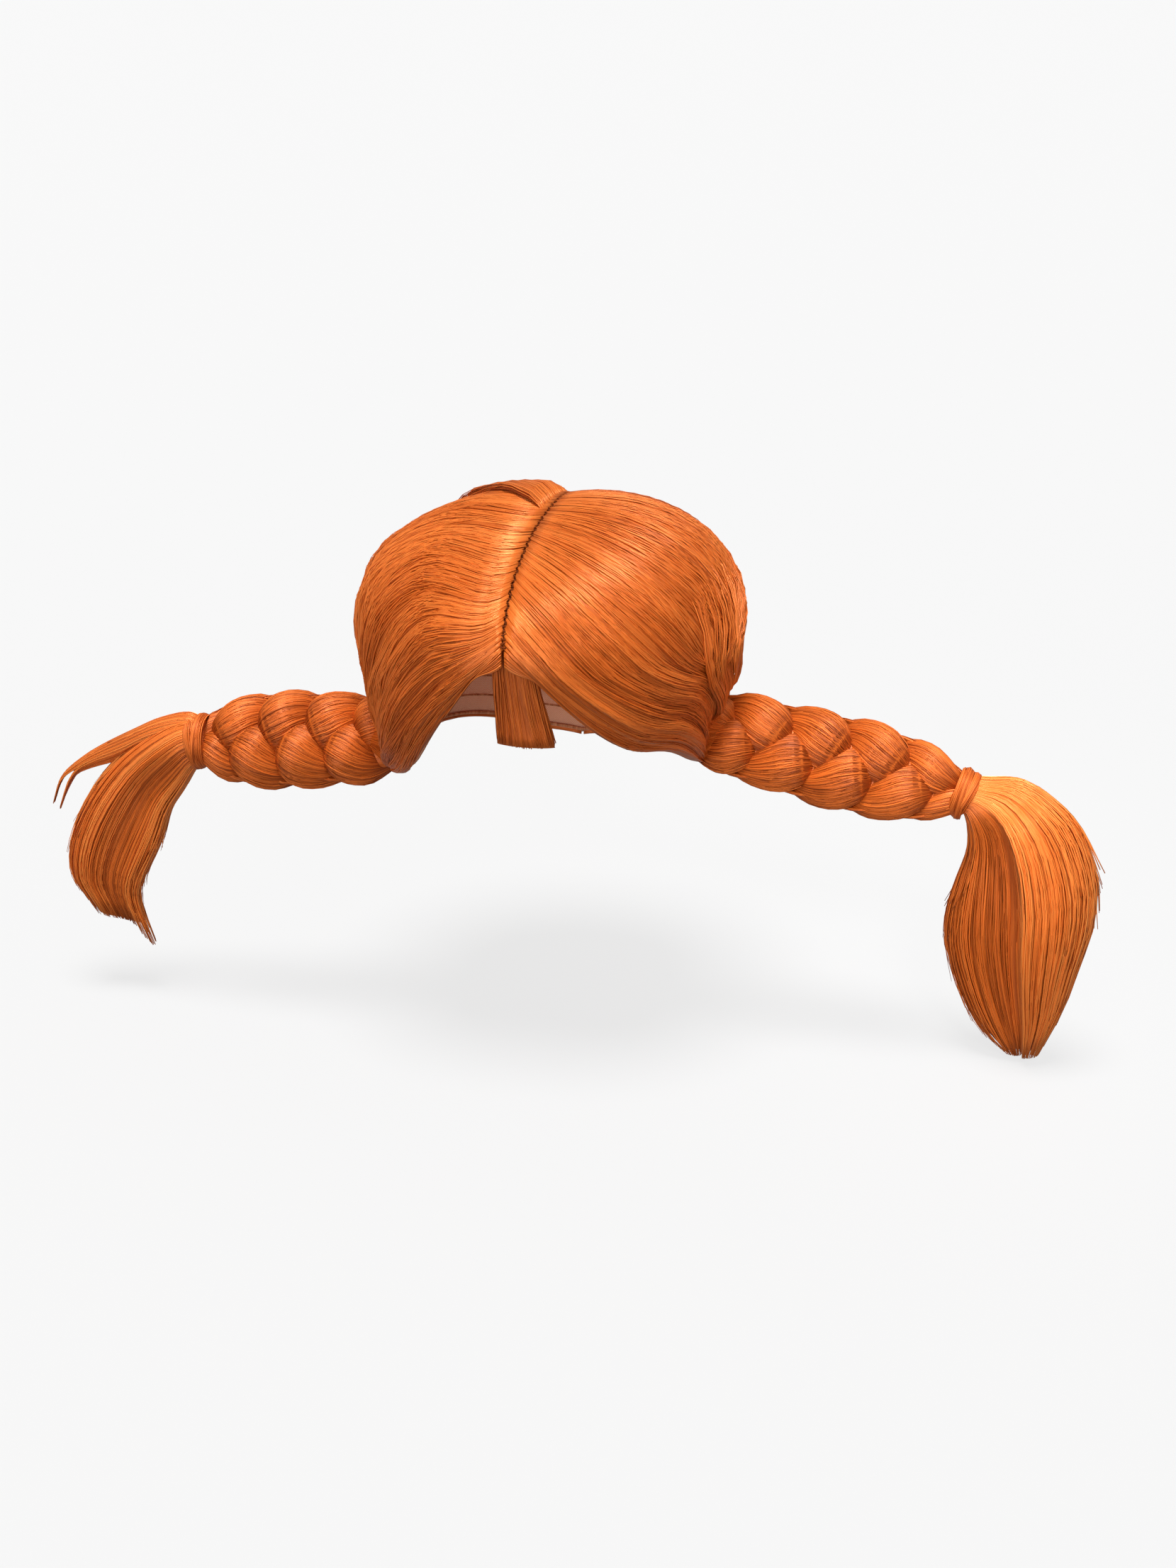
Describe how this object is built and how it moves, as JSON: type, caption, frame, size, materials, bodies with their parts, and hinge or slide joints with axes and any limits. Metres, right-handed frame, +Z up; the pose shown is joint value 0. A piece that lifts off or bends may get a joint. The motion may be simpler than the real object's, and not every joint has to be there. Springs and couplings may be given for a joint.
{
  "type": "pigtail wig",
  "caption": "Straight-haired costume wig on a net cap, with a centre parting, a short fringe and side plaits tied with wound hair that end in loose tails.",
  "frame": {"origin": "inside of the crown of the cap, where the top of the head touches it", "axes": "+Z up as worn, -Y out of the wearer's forehead, +X to the wearer's left"},
  "size_m": [0.5327, 0.1963, 0.2772],
  "materials": {
    "hair": "silky orange fibre hair, combed straight",
    "plait": "silky orange fibre hair, plaited",
    "tail": "silky orange fibre hair, loose",
    "tie": "orange fibre hair, wound tight",
    "seam": "dark brown stitching on a woven strip",
    "net": "matt pinkish net with sewn rows"
  },
  "bodies": {
    "root": {"cap": "net", "part_seam": "seam", "fringe": "hair", "hair_left": "hair", "left_braid_strand_1": "plait", "left_braid_strand_2": "plait", "left_braid_strand_3": "plait", "left_tie": "tie", "left_tail": "tail", "hair_right": "hair", "right_braid_strand_1": "plait", "right_braid_strand_2": "plait", "right_braid_strand_3": "plait", "right_tie": "tie", "right_tail": "tail"}
  },
  "joints": []
}
